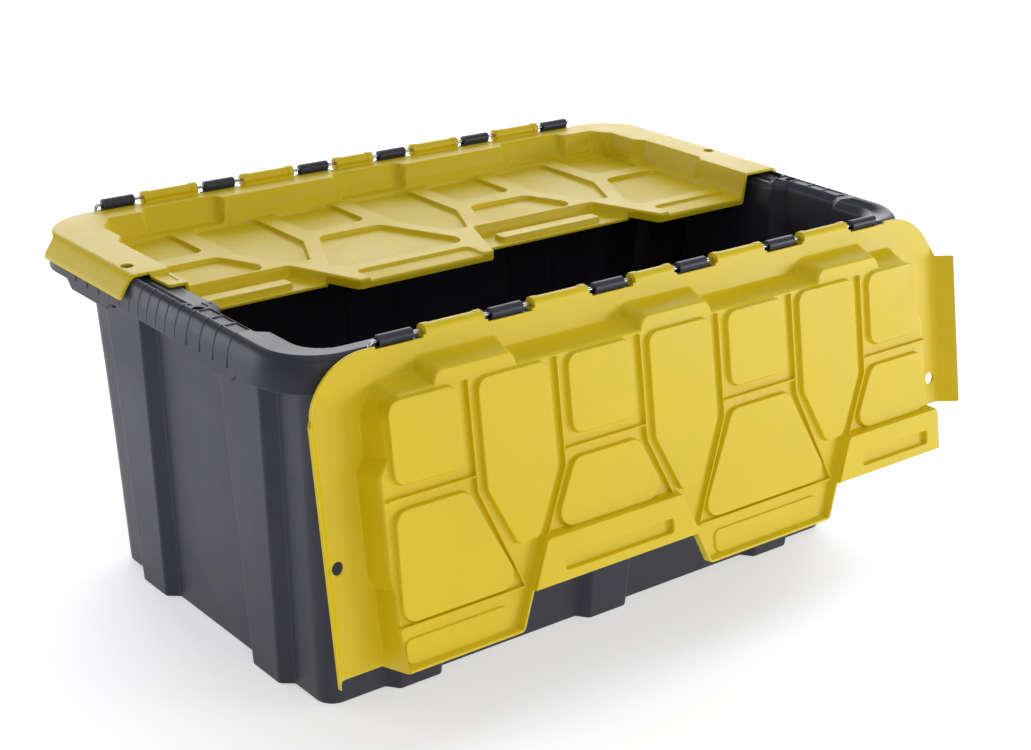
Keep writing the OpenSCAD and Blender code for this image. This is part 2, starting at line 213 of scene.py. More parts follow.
@dataclass
class Relief:
    """A recess or a raised area of a moulded sheet, with drafted walls and soft edges.

    Its wall falls between `start` and `stop`, measured inward from its loops.  Where it
    has `floor` loops, the wall falls between the loops and the floor loops instead.  Where
    it has `levels`, it cuts down to those heights, for the top and for the underside.  It
    ends where Y passes `limit`.
    """

    loops: list[Loop]
    depth: float
    start: float = 0.0
    stop: float = 1.2
    soft: float = 0.5
    side: Side = Side.BOTH
    shift: float = 1.4
    floor: Optional[Loop] = None
    texture: float = 0.0
    levels: Optional[tuple[float, float]] = None
    limit: float = math.inf

    def inner(self, where: np.ndarray) -> np.ndarray:
        """Return how deep points lie inside the nearest of the loops."""
        return np.max([loop.distance(where) for loop in self.loops], axis=0)

    def falls(self, where: np.ndarray, above: np.ndarray,
              below: np.ndarray) -> tuple[np.ndarray, np.ndarray, np.ndarray]:
        """Measure the relief at points.

        Args:
            where: points, one row each.
            above: the top's height there before this relief.
            below: the underside's height there before this relief.

        Returns:
            The drop of the top, the drop of the underside, and how far inside they are.
        """
        a = self.inner(where)
        slip = math.copysign(self.shift, self.depth)
        if self.floor is None:
            lo, hi = a - self.start, a - self.stop
        else:
            lo, hi = a, self.floor.distance(where)
        width = np.maximum(lo - hi, 0.3)
        top = (swell(lo, self.soft) - swell(hi, self.soft)) / width
        under = (swell(lo + slip, self.soft) - swell(hi + slip, self.soft)) / width
        if self.levels is not None:
            top = top * np.maximum(above - self.levels[0], 0)
            under = under * np.maximum(below - self.levels[1], 0)
        else:
            top, under = top * self.depth, under * self.depth
        stays = where[:, 1] < self.limit
        top, under = top * stays, under * stays
        zero = np.zeros(len(where))
        return (zero if self.side is Side.UNDER else top,
                zero if self.side is Side.TOP else under, hi)

    def rings(self) -> list[np.ndarray]:
        """Return the lines that the sheet's mesh follows along this relief's walls."""
        slip = math.copysign(self.shift, self.depth)
        slips = {Side.BOTH: (0.0, slip), Side.TOP: (0.0,), Side.UNDER: (slip,)}[self.side]
        edges = [(self.loops, self.start)]
        edges.append(([self.floor], 0.0) if self.floor is not None else (self.loops, self.stop))
        levels: list[tuple[Loop, float]] = []
        for offset in slips:
            for loops, edge in edges:
                for step in (-1.0, -0.33, 0.33, 1.0):
                    for loop in loops:
                        levels.append((loop, edge - offset + step * self.soft))
        out: list[np.ndarray] = []
        seen: list[tuple[int, float]] = []
        for loop, level in levels:
            if any(key == id(loop) and abs(level - other) < 0.12 for key, other in seen):
                continue
            seen.append((id(loop), level))
            out.append(loop.ring(level))
        return out


# ---------------------------------------------------------------- meshes

class Draft:
    """Faces gathered in millimetres before they become one Blender mesh."""

    def __init__(self) -> None:
        """Start with no faces."""
        self.verts: list[tuple[float, float, float]] = []
        self.faces: list[tuple[int, ...]] = []
        self.texture: list[tuple[float, float, float]] = []

    def add(self, verts: Iterable[Sequence[float]], faces: Iterable[Sequence[int]],
            texture: Optional[Sequence[Sequence[float]]] = None) -> None:
        """Add faces with their own points.

        Args:
            verts: the points.
            faces: indices into those points.
            texture: mottle, ripple and distance from the hinge at each point, 0 if left out.
        """
        base = len(self.verts)
        rows = [tuple(float(c) for c in v) for v in verts]
        self.verts += rows
        self.faces += [tuple(base + i for i in f) for f in faces]
        self.texture += ([tuple(map(float, t)) for t in texture] if texture is not None
                         else [(0.0, 0.0, 0.0)] * len(rows))

    def loft(self, rings: Sequence[np.ndarray], closed: bool = True, wrap: bool = False) -> None:
        """Join rings of equal length with quads.

        Args:
            rings: arrays of points in space, all of one length.
            closed: whether each ring closes on itself.
            wrap: whether the last ring joins the first.
        """
        size = len(rings[0])
        faces = []
        for k in range(len(rings) if wrap else len(rings) - 1):
            low, high = k * size, (k + 1) % len(rings) * size
            for i in range(size if closed else size - 1):
                j = (i + 1) % size
                faces.append((low + i, low + j, high + j, high + i))
        self.add(np.vstack(rings), faces)

    def lathe(self, profile: Sequence[Point], centre: tuple[float, float], steps: int = 40) -> None:
        """Turn a closed section about an axis along X.

        Args:
            profile: x and radius of each point of the section, which closes on itself.
            centre: y and z of the axis.
            steps: segments round the axis.
        """
        turns = np.arange(steps) * 2 * math.pi / steps
        rings = [np.stack([np.full(steps, x), centre[0] + r * np.cos(turns),
                           centre[1] + r * np.sin(turns)], axis=1) for x, r in profile]
        self.loft(rings, wrap=True)

    def block(self, low: Sequence[float], high: Sequence[float], bevel: float) -> None:
        """Add a box with rounded edges all round.

        Args:
            low: its lowest corner.
            high: its highest corner.
            bevel: radius of the rounding.
        """
        (x0, y0, z0), (x1, y1, z1) = low, high
        rings = []
        levels = [(z0, bevel), (z0 + 0.29 * bevel, 0.29 * bevel), (z0 + bevel, 0.0),
                  (z1 - bevel, 0.0), (z1 - 0.29 * bevel, 0.29 * bevel), (z1, bevel)]
        for z, inset in levels:
            ring = rounded([(x0 + inset, y0 + inset, bevel), (x1 - inset, y0 + inset, bevel),
                            (x1 - inset, y1 - inset, bevel), (x0 + inset, y1 - inset, bevel)], 3)
            rings.append(np.column_stack([ring, np.full(len(ring), z)]))
        self.loft(rings)
        size = len(rings[0])
        self.add(rings[0], [tuple(range(size))[::-1]])
        self.add(rings[-1], [tuple(range(size))])

    def prism(self, section: Sequence[Point], y0: float, y1: float) -> None:
        """Extrude an XZ section along Y.

        Args:
            section: x and z of the section's points.
            y0: where it starts.
            y1: where it ends.
        """
        size = len(section)
        rows = [(x, y, z) for y in (y0, y1) for x, z in section]
        faces: list[tuple[int, ...]] = [(i, (i + 1) % size, size + (i + 1) % size, size + i)
                                        for i in range(size)]
        faces += [tuple(range(size))[::-1], tuple(range(size, 2 * size))]
        self.add(rows, faces)

    def turned(self, matrix: Matrix) -> "Draft":
        """Return a copy moved by a matrix in millimetres."""
        out = Draft()
        out.verts = [tuple(matrix @ Vector(v)) for v in self.verts]
        out.faces, out.texture = list(self.faces), list(self.texture)
        return out

    def join(self, other: "Draft") -> None:
        """Take in another draft's faces."""
        self.add(other.verts, other.faces, other.texture)

    def piece(self, name: str, body: str, slot: str, material: bpy.types.Material,
              angle: float = 40.0) -> bpy.types.Object:
        """Make the Blender object.

        Args:
            name: the piece's name.
            body: the body it rides on.
            slot: not used.
            material: its material.
            angle: edges sharper than this many degrees stay crisp.

        Returns:
            The new object.
        """
        mesh = bpy.data.meshes.new(name)
        mesh.from_pydata([(x * MM, y * MM, z * MM) for x, y, z in self.verts], [], self.faces)
        grain = mesh.attributes.new("grain", "FLOAT_VECTOR", "POINT")
        grain.data.foreach_set("vector", np.array(self.texture, dtype=float).ravel())
        work = bmesh.new()
        work.from_mesh(mesh)
        bmesh.ops.remove_doubles(work, verts=work.verts, dist=2e-5)
        bmesh.ops.dissolve_degenerate(work, edges=work.edges, dist=1e-6)
        bmesh.ops.recalc_face_normals(work, faces=work.faces)
        work.to_mesh(mesh)
        work.free()
        mesh.polygons.foreach_set("use_smooth", [True] * len(mesh.polygons))
        mesh.set_sharp_from_angle(angle=math.radians(angle))
        mesh.materials.append(material)
        obj = bpy.data.objects.new(name, mesh)
        bpy.context.scene.collection.objects.link(obj)
        even = obj.modifiers.new("even_shading", "WEIGHTED_NORMAL")
        even.keep_sharp = True
        even.weight = 80
        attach(obj, body)
        return obj


@dataclass
class Sheet:
    """A moulded sheet: a plan outline with holes, reliefs and a rounded edge."""

    outline: Loop
    level: Callable[[np.ndarray], np.ndarray]
    under: Callable[[np.ndarray], np.ndarray]
    holes: list[Loop] = field(default_factory=list)
    reliefs: list[Relief] = field(default_factory=list)
    guides: list[Loop] = field(default_factory=list)
    edge: float = 1.0
    under_edge: float = 0.4
    rolled: bool = True
    ripple: float = 0.0

    def mesh_plan(self) -> tuple[np.ndarray, list[tuple[int, int, int]]]:
        """Triangulate the plan along the outline, the holes and every relief's rings.

        Returns:
            The plan's points and its triangles.
        """
        lines: list[tuple[np.ndarray, bool]] = [(self.outline.points, True)]
        lines += [(hole.points, True) for hole in self.holes]
        lines += [(guide.points, guide.closed) for guide in self.guides]
        if self.rolled:
            for step in (0.08, 0.3, 0.6, 1.0):
                lines.append((self.outline.ring(step * self.edge), True))
                lines += [(hole.ring(-step * self.edge), True) for hole in self.holes]
        for relief in self.reliefs:
            lines += [(ring, True) for ring in relief.rings()]
        points: list[Vector] = []
        edges: list[tuple[int, int]] = []
        for ring, closed in lines:
            base, size = len(points), len(ring)
            points += [Vector((float(x), float(y))) for x, y in ring]
            edges += [(base + i, base + (i + 1) % size)
                      for i in range(size if closed else size - 1)]
        verts, _, faces, _, _, _ = delaunay_2d_cdt(points, edges, [], 0, 0.01)
        plan = np.array([(v.x, v.y) for v in verts])
        tri = np.array([tuple(f) for f in faces])
        middle = plan[tri].mean(axis=1)
        keep = self.outline.distance(middle) > 0
        for hole in self.holes:
            keep &= hole.distance(middle) < 0
        tri = tri[keep]
        used = np.unique(tri)
        index = np.full(len(plan), -1)
        index[used] = np.arange(len(used))
        return plan[used], [tuple(int(i) for i in row) for row in index[tri]]

    def build(self, draft: Draft) -> None:
        """Add the sheet's top, underside and edges to a draft.

        Args:
            draft: takes the faces.
        """
        plan, tri = self.mesh_plan()
        top, under = self.level(plan), self.under(plan)
        grain = np.zeros(len(plan))
        for relief in self.reliefs:
            fall, dip, deep = relief.falls(plan, top, under)
            top -= fall
            under -= dip
            if relief.texture:
                grain = np.maximum(grain, np.clip(deep, 0, 1) * relief.texture)
        if self.rolled:
            rim = self.outline.distance(plan)
            for hole in self.holes:
                rim = np.minimum(rim, -hole.distance(plan))
            for size, sign, face in ((self.edge, -1, top), (self.under_edge, 1, under)):
                near = np.clip(1 - np.maximum(rim, 0) / size, 0, 1)
                face += sign * size * (1 - np.sqrt(1 - near ** 2))
        under = np.minimum(under, top - 0.3)
        size = len(plan)
        links: dict[tuple[int, int], int] = {}
        for a, b, c in tri:
            for edge in ((a, b), (b, c), (c, a)):
                links[edge] = links.get(edge, 0) + 1
        sides = [(a, b) for a, b in links if (b, a) not in links]
        faces: list[tuple[int, ...]] = [(a, b, c) for a, b, c in tri]
        faces += [(size + c, size + b, size + a) for a, b, c in tri]
        faces += [(b, a, size + a, size + b) for a, b in sides]
        draft.add(np.vstack([np.column_stack([plan, top]), np.column_stack([plan, under])]),
                  faces, [(g, side * self.ripple, y) for side in (1.0, 0.0)
                          for g, y in zip(grain, plan[:, 1])])


# ---------------------------------------------------------------- finishes

def linear(code: str) -> tuple[float, float, float, float]:
    """Turn an sRGB hex colour into linear light.

    Args:
        code: six hex digits.

    Returns:
        Red, green, blue and full opacity.
    """
    parts = [int(code[i:i + 2], 16) / 255 for i in (0, 2, 4)]
    r, g, b = (c / 12.92 if c <= 0.04045 else ((c + 0.055) / 1.055) ** 2.4 for c in parts)
    return (r, g, b, 1.0)


def add_node(tree: bpy.types.NodeTree, kind: str, settings: Optional[dict] = None,
             links: Optional[dict] = None) -> bpy.types.Node:
    """Add a shader node with its settings and links.

    Args:
        tree: the material's node tree.
        kind: the node's type.
        settings: attribute values, or input values where the key is an input's name.
        links: input name or number to the output socket that feeds it.

    Returns:
        The node.
    """
    node = tree.nodes.new(kind)
    for key, value in (settings or {}).items():
        if isinstance(key, str) and hasattr(node, key):
            setattr(node, key, value)
        else:
            node.inputs[key].default_value = value
    for key, socket in (links or {}).items():
        tree.links.new(socket, node.inputs[key])
    return node


@dataclass(frozen=True)
class MouldedPolypropylene:
    """Injection-moulded polypropylene with a fine spark-eroded texture.

    To the eye: a satin skin whose highlights are broad and a little uneven, with a fine
    grain that sparkles only at a low angle, and flow marks too faint to name.
    """

    name: str
    colour: str
    deep: str
    roughness: float = 0.40
    grain_mm: float = 0.9      # real texture is about 0.2 mm; drawn coarser so that it shows
    grain_height_mm: float = 0.020
    dimple_mm: float = 3.2     # the mottled panels between the ribs
    dimple_height_mm: float = 0.10
    flow_mm: float = 60.0      # slow change of gloss across the part
    ripple_mm: float = 4.8     # cutter marks along the hinge, real pitch 2.5; coarser to show
    ripple_height_mm: float = 0.12
    shine: float = 0.5
    shine_tint: str = "ffffff"

    def make(self) -> bpy.types.Material:
        """Build the material.

        Returns:
            The new material.
        """
        material = bpy.data.materials.new(self.name)
        material.use_nodes = True
        tree = material.node_tree
        shader = tree.nodes["Principled BSDF"]
        place = add_node(tree, "ShaderNodeTexCoord").outputs["Object"]
        flow = add_node(tree, "ShaderNodeTexNoise", {"Scale": 1000 / self.flow_mm, "Detail": 3.0},
                        {"Vector": place})
        grain = add_node(tree, "ShaderNodeTexNoise", {"Scale": 1000 / self.grain_mm,
                                                      "Detail": 2.0}, {"Vector": place})
        dimple = add_node(tree, "ShaderNodeTexNoise", {"Scale": 1000 / self.dimple_mm,
                                                       "Detail": 1.0}, {"Vector": place})
        marks = add_node(tree, "ShaderNodeAttribute", {"attribute_name": "grain"})
        parts = add_node(tree, "ShaderNodeSeparateXYZ", {}, {0: marks.outputs["Vector"]}).outputs
        zone = parts["X"]
        tint = add_node(tree, "ShaderNodeMix", {"data_type": "RGBA"}, {0: flow.outputs["Fac"]})
        tint.inputs[6].default_value = linear(self.deep)
        tint.inputs[7].default_value = linear(self.colour)
        tree.links.new(tint.outputs[2], shader.inputs["Base Color"])
        gloss = add_node(tree, "ShaderNodeMapRange", {
            "From Min": 0.3, "From Max": 0.7, "To Min": self.roughness - 0.05,
            "To Max": self.roughness + 0.05}, {"Value": flow.outputs["Fac"]})
        patch = add_node(tree, "ShaderNodeMath", {"operation": "MULTIPLY_ADD", 1: 0.10},
                         {0: zone, 2: gloss.outputs["Result"]})
        tree.links.new(patch.outputs[0], shader.inputs["Roughness"])
        swing = add_node(tree, "ShaderNodeMath", {"operation": "MULTIPLY",
                                                  1: 2 * math.pi / self.ripple_mm}, {0: parts["Z"]})
        wave = add_node(tree, "ShaderNodeMath", {"operation": "SINE"}, {0: swing.outputs[0]})
        fade = add_node(tree, "ShaderNodeMath", {"operation": "MULTIPLY"},
                        {0: parts["Y"], 1: flow.outputs["Fac"]})
        ripple = add_node(tree, "ShaderNodeMath", {"operation": "MULTIPLY"},
                          {0: wave.outputs[0], 1: fade.outputs[0]})
        ridges = add_node(tree, "ShaderNodeBump", {"Strength": 1.0,
                          "Distance": self.ripple_height_mm * MM}, {"Height": ripple.outputs[0]})
        mottle = add_node(tree, "ShaderNodeMath", {"operation": "MULTIPLY"},
                          {0: dimple.outputs["Fac"], 1: zone})
        coarse = add_node(tree, "ShaderNodeBump", {"Strength": 1.0,
                          "Distance": self.dimple_height_mm * MM},
                          {"Height": mottle.outputs[0], "Normal": ridges.outputs["Normal"]})
        fine = add_node(tree, "ShaderNodeBump", {"Strength": 1.0,
                        "Distance": self.grain_height_mm * MM},
                        {"Height": grain.outputs["Fac"], "Normal": coarse.outputs["Normal"]})
        tree.links.new(fine.outputs["Normal"], shader.inputs["Normal"])
        shader.inputs["IOR"].default_value = 1.49
        shader.inputs["Specular IOR Level"].default_value = self.shine
        shader.inputs["Specular Tint"].default_value = linear(self.shine_tint)
        return material


@dataclass(frozen=True)
class ZincPlatedWire:
    """Drawn steel wire with bright zinc plating.

    To the eye: a clean grey-white metal line with faint lengthwise drawing marks and
    slightly duller patches where the zinc has dried.
    """

    name: str
    colour: str
    roughness: float = 0.24
    mark_mm: float = 0.4       # spacing of the drawing marks round the wire
    patch_mm: float = 9.0      # size of the duller patches

    def make(self) -> bpy.types.Material:
        """Build the material.

        Returns:
            The new material.
        """
        material = bpy.data.materials.new(self.name)
        material.use_nodes = True
        tree = material.node_tree
        shader = tree.nodes["Principled BSDF"]
        shader.inputs["Base Color"].default_value = linear(self.colour)
        shader.inputs["Metallic"].default_value = 1.0
        place = add_node(tree, "ShaderNodeTexCoord").outputs["Object"]
        long = add_node(tree, "ShaderNodeMapping", {"Scale": (0.02, 1.0, 1.0)}, {"Vector": place})
        marks = add_node(tree, "ShaderNodeTexNoise", {"Scale": 1000 / self.mark_mm},
                         {"Vector": long.outputs[0]})
        patch = add_node(tree, "ShaderNodeTexNoise", {"Scale": 1000 / self.patch_mm},
                         {"Vector": place})
        dull = add_node(tree, "ShaderNodeMapRange", {
            "From Min": 0.35, "From Max": 0.7, "To Min": self.roughness - 0.04,
            "To Max": self.roughness + 0.14}, {"Value": patch.outputs["Fac"]})
        tree.links.new(dull.outputs["Result"], shader.inputs["Roughness"])
        lines = add_node(tree, "ShaderNodeBump", {"Strength": 0.6, "Distance": 0.01 * MM},
                         {"Height": marks.outputs["Fac"]})
        tree.links.new(lines.outputs["Normal"], shader.inputs["Normal"])
        return material


@dataclass(frozen=True)
class PaperSweep:
    """Matt white paper under the object: no gloss, a trace of fibre in its roughness."""

    name: str
    colour: str
    fibre_mm: float = 6.0
    glow: float = 0.52          # the sheet is lit from below as well

    def make(self) -> bpy.types.Material:
        """Build the material.

        Returns:
            The new material.
        """
        material = bpy.data.materials.new(self.name)
        material.use_nodes = True
        tree = material.node_tree
        shader = tree.nodes["Principled BSDF"]
        shader.inputs["Base Color"].default_value = linear(self.colour)
        shader.inputs["Emission Color"].default_value = linear(self.colour)
        shader.inputs["Emission Strength"].default_value = self.glow
        place = add_node(tree, "ShaderNodeTexCoord").outputs["Object"]
        fibre = add_node(tree, "ShaderNodeTexNoise", {"Scale": 1000 / self.fibre_mm},
                         {"Vector": place})
        matt = add_node(tree, "ShaderNodeMapRange", {"To Min": 0.85, "To Max": 1.0},
                        {"Value": fibre.outputs["Fac"]})
        tree.links.new(matt.outputs["Result"], shader.inputs["Roughness"])
        return material


@dataclass(frozen=True)
class Finishes:
    """The materials that the pieces share."""

    black: bpy.types.Material
    yellow: bpy.types.Material
    wire: bpy.types.Material


# ---------------------------------------------------------------- lids

@dataclass
class Lid:
    """One hinged lid: a drafted well with interlocking teeth, ledges, pads and ribs.

    Drawn closed, with X along the hinge line, Y away from it and Z up from it.
    """

    name: str
    opening: float
    half_turn: bool
    yellow: bpy.types.Material
    margin: float = -4.0
    thick: float = 2.5
    well: float = 20.5
    ledge_drop: float = 9.0
    half_length: float = 330.0
    middle: float = HINGE_Y
    tip: float = 232.0
    ledge_end: float = 203.0
    slope: float = 0.42
    gap: float = 1.5
    pitch: float = 162.0
    crenels: tuple[float, ...] = (-192.8, 0.0, 192.8)
    knuckles: tuple[float, ...] = KNUCKLES
    pad: float = 3.7
    rib: float = 3.5
    notch: float = 20.5        # half width of the gap in the plate at a knuckle
    recess: float = 23.1       # half width of that gap between the barrels

    def line(self, base: float, way: float, reach: float) -> float:
        """Return x of a tooth's side line at a distance from the hinge."""
        return base + way * (self.slope * (reach - self.middle) + self.gap)

    def outline(self) -> Loop:
        """Return the lid's plan, with notches at the tote's knuckles."""
        p, end = self.pitch, self.ledge_end
        corner = [(270 + 52 * math.cos(a), 54 + 52 * math.sin(a), 0.0)
                  for a in np.radians(np.linspace(-90, -13.3, 12))]
        pts: list[tuple[float, float, float]] = [(-self.half_length, 42.0, 1.5)]
        pts += [(-x, y, radius) for x, y, radius in corner[::-1]]
        ks = sorted([-k for k in self.knuckles] + list(self.knuckles))
        for x in ks:
            n0, n1, r0, r1 = x - self.notch, x + self.notch, x - self.recess, x + self.recess
            left = [(n0, 2.0, 0.8)] if x == ks[0] else [
                (r0, -4.5, 0.3), (r0, 2.0, 0.8), (n0, 2.0, 0.6)]
            right = [(n1, 2.0, 0.8)] if x == ks[-1] else [
                (n1, 2.0, 0.6), (r1, 2.0, 0.8), (r1, -4.5, 0.3)]
            pts += left + [(n0, 4.0, 0.8), (n1, 4.0, 0.8)] + right
        pts += corner
        pts += [(self.half_length, 42.0, 1.5), (self.half_length, 173.0, 2.0),
                (304.0, 173.0, 2.0), (303.0, 202.5, 3.0), (286.5, end, 1.0)]
        pts += [(self.line(p, -1, end), end, 1.5), (self.line(p, -1, self.tip), self.tip, 5.0),
                (self.line(0, 1, self.tip), self.tip, 5.0), (self.line(0, 1, end), end, 1.5),
                (self.line(-p, -1, end), end, 1.5),
                (self.line(-p, -1, self.tip), self.tip, 5.0)]
        pts += [(-281.5, self.tip, 1.0), (-284.0, self.tip - 1, 1.0),
                (-self.half_length, self.tip - 1, 2.5)]
        return Loop(rounded(pts))

    def well_loop(self, floor: bool) -> Loop:
        """Return the well's edge at the margin, or at its floor.

        Args:
            floor: whether the floor's edge is wanted.
        """
        e = 1.0 if floor else 0.0
        near, deep = 27.5 + 8.5 * e, 17.5 + 8.5 * e
        half = 36.0 - 3.0 * e
        end, close = 286.0 - 6.5 * e, 278.0 - 6.5 * e
        pts: list[tuple[float, float, float]] = []
        pts += [(-close, 47.0 + 2 * e, 5.0), (-close + 13.0, near, 5.0)]
        for x in self.crenels:
            pts += [(x - half - 1.5, near, 5.0 - 2 * e), (x - half, deep, 8.0 - 2 * e),
                    (x + half, deep, 8.0 - 2 * e), (x + half + 1.5, near, 5.0 - 2 * e)]
        pts += [(close - 13.0, near, 5.0), (close, 47.0 + 2 * e, 5.0), (close, 77.0 + e, 3.0),
                (end, 87.0 + e, 3.0), (end, 164.0, 3.0), (287.0 - 2.6 * e, 171.0, 3.0),
                (287.0 - 2.6 * e, 900.0, 0.0), (-280.5 + 3.5 * e, 900.0, 0.0),
                (-280.5 + 3.5 * e, 172.0, 3.0), (-end, 163.0, 3.0), (-end, 87.0 + e, 3.0),
                (-close, 77.0 + e, 3.0)]
        return Loop(rounded(pts, 6))

    def pads(self) -> Relief:
        """Return the square, broad and tall pads."""
        p = self.pitch
        loops = [box_loop(max(x - 30.5, -271.5), 36.8, min(x + 30.5, 271.5), 96.5, 9)
                 for x in (-1.5 * p, -0.5 * p, 0.5 * p, 1.5 * p)]
        for x in (-p, 0.0, p):
            loops.append(Loop(rounded([
                (x - 32, 36.8, 9), (x + 32, 36.8, 9), (x + 32, 118, 9), (x + 9.5, 165, 7),
                (x - 9.5, 165, 7), (x - 32, 118, 9)])))
        for x, far in ((-1.5 * p, 196.0), (-0.5 * p, 164.5), (0.5 * p, 196.0), (1.5 * p, 164.5)):
            wide = 31 + 0.5 * (far - 115)
            left, right = max(x - wide, -276.5), min(x + wide, 278.5)
            low = max(x - 31, -276.5), min(x + 31, 278.5)
            loops.append(Loop(rounded([(low[0], 115, 10), (low[1], 115, 10),
                                       (right, far, 11), (left, far, 11)])))
        low = self.margin - self.well - self.pad
        return Relief(loops, self.pad, 0.0, 1.1, 0.45, shift=1.5, texture=1.0,
                      levels=(low, low - self.thick))

    def ribs(self) -> Relief:
        """Return the narrow ribs under the well."""
        p = self.pitch
        loops = []
        for c in (-p, 0.0, p):
            for s in (-1, 1):
                long = s == (1 if c == 0 else -1)
                foot = (c + s * 7.0, 197.0) if long else (c + s * 18.0, 167.0)
                loops.append(strip_loop([(c + s * 40.5, 36.0), (c + s * 40.5, 118.0), foot], 1.0))
        for a, b in ((-279.0, -p - 41), (-p + 41, -41.0), (41.0, p - 41), (p + 41, 279.0)):
            loops.append(strip_loop([(a, 106.0), (b, 106.0)], 1.0))
        for a, b in ((-279.0, -p - 7), (7.0, p - 7)):
            loops.append(strip_loop([(a, 199.0), (b, 199.0)], 1.0))
        low = self.margin - self.well - self.thick - self.rib
        return Relief(loops, self.rib, -0.15, 0.35, 0.25, Side.UNDER, 0.0, levels=(low, low))

    def reliefs(self) -> list[Relief]:
        """Return every relief of the lid, from the largest to the smallest."""
        p = self.pitch
        s2 = Loop(rounded([(self.line(-p, -1, 168), 168, 4), (self.line(0, 1, 168), 168, 4),
                           (self.line(0, 1, 222), 222, 0), (self.line(-p, -1, 222), 222, 0)]))
        s4 = Loop(rounded([(self.line(p, -1, 168), 168, 4), (286.5, 168, 3),
                           (286.5, 222, 0), (self.line(p, -1, 222), 222, 0)]))
        bars = [box_loop(-136, 182, -24, 197, 4), box_loop(188, 182, 272, 197, 4)]
        grooves = [box_loop(-276, 209.5, -186, 242, 5), box_loop(24, 209.5, 138, 242, 5)]
        bosses = [box_loop(-276, 209.5, -186, 227, 5), box_loop(24, 209.5, 138, 227, 5)]
        tongue = Loop(rounded([(283, 173.9, 0), (320, 173.9, 0), (320, 222, 0), (283, 222, 0)]))
        low = self.margin - 3.2
        panel = box_loop(290.5, 178, 300.5, 196, 2)
        out = [
            Relief([self.well_loop(False)], self.well, soft=1.1, shift=2.3,
                   floor=self.well_loop(True)),
            Relief([s2, s4], self.ledge_drop, -0.6, 1.4, 0.7, shift=2.3,
                   limit=self.ledge_end + 0.1),
            self.pads(),
            self.ribs(),
            Relief(grooves, 2.2, 0.0, 0.9, 0.4, Side.TOP, 0.0, texture=1.0),
            Relief(bosses, 1.5, 0.0, 0.9, 0.4, Side.UNDER, 1.2, texture=1.0),
            Relief(bars, -4.3, 0.0, 1.0, 0.4, shift=1.6),
            Relief([tongue], 3.2, -0.3, 1.0, 0.5, shift=0.0, levels=(low, low - self.thick)),
            Relief([panel], 0.7, 0.0, 0.5, 0.25, Side.TOP, 0.0),
        ]
        spans = [Loop(rounded([(a, -8, 0), (b, -8, 0), (b, 6.6, 1), (a, 6.6, 1)]))
                 for a, b in self.barrel_spans()]
        out.append(Relief(spans, -2.2, -0.5, 3.0, 1.0, Side.TOP, 0.0))
        return out

    def barrel_spans(self) -> list[Point]:
        """Return the start and end of each barrel, between the tote's knuckles."""
        ks = sorted([-k for k in self.knuckles] + list(self.knuckles))
        return [(a + 23.0, b - 23.0) for a, b in zip(ks, ks[1:])]

    def skirt(self, where: np.ndarray, slip: float) -> np.ndarray:
        """Return how far the end skirts drop at points.

        Args:
            where: plan points.
            slip: how far the surface is moved inward, for the underside.
        """
        fold, slope, width = 319.8, 1.56, 10.4
        a = np.abs(where[:, 0]) - fold + slip
        return slope * (swell(a, 3.6) - swell(a - width, 0.8))

    def tooth_lines(self) -> list[Loop]:
        """Return the edges of the teeth, the middle tooth first."""
        p, root = self.pitch, 169
        middle = [(self.line(p, -1, root), root), (self.line(p, -1, self.tip), self.tip),
                  (self.line(0, 1, self.tip), self.tip), (self.line(0, 1, root), root)]
        end = [(self.line(-p, -1, root), root), (self.line(-p, -1, self.tip), self.tip),
               (-277.0, self.tip)]
        return [Loop(np.array(line), closed=False) for line in (middle, end)]

    def lip(self, where: np.ndarray) -> tuple[np.ndarray, np.ndarray]:
        """Return the roll of the teeth's edge on top and its drop below.

        Args:
            where: plan points.
        """
        near = np.max([line.distance(where) for line in self.tooth_lines()], axis=0)
        top = 2.2 * (1 - np.sqrt(1 - np.clip(1 + near / 2.4, 0, 1) ** 2))
        reach = where[:, 1] > self.ledge_end + 0.1
        under = np.where(reach, (swell(near + 4.2, 0.6) - swell(near + 2.0, 0.6)) / 2.2, 0.0)
        return np.where(reach, top, 0.6 * top), 5.95 * under

    def plate(self) -> Draft:
        """Return the moulded plate, without its barrels."""
        def top(where: np.ndarray) -> np.ndarray:
            """Return the top's height at plan points."""
            return self.margin - self.skirt(where, 0.0) - self.lip(where)[0]

        def under(where: np.ndarray) -> np.ndarray:
            """Return the underside's height at plan points, which curls up at the barrels."""
            curl = 6.1 - np.sqrt(np.maximum(37.2 - np.minimum(where[:, 1] - 0.6, 0) ** 2, 0.3))
            return (self.margin - self.thick + curl - self.skirt(where, 1.2)
                    - self.lip(where)[1])

        guides = [Loop(np.array([(-250.0, y), (250.0, y)]), closed=False)
                  for y in (0.6, -0.8, -2.0, -3.0, -3.8, -4.5)]
        for y in (self.ledge_end + 0.15, self.ledge_end + 0.6):
            guides.append(Loop(np.array([(-300.0, y), (300.0, y)]), closed=False))
        for x in (316.2, 317.8, 319.0, 320.2, 321.6, 323.4, 329.2):
            for s in (-1, 1):
                guides.append(Loop(np.array([(s * x, 20.0), (s * x, 240.0)]), closed=False))
        for step in (0.5, 1.2, 1.8, 2.4, 2.8, 3.6, 4.2, 4.8):
            guides += [Loop(line.ring(step), closed=False) for line in self.tooth_lines()]
        sheet = Sheet(self.outline(), top, under,
                      holes=[circle_loop(x, 150, 5) for x in (-311, 311)],
                      reliefs=self.reliefs(), guides=guides, edge=0.9, ripple=1.0)
        draft = Draft()
        sheet.build(draft)
        return draft

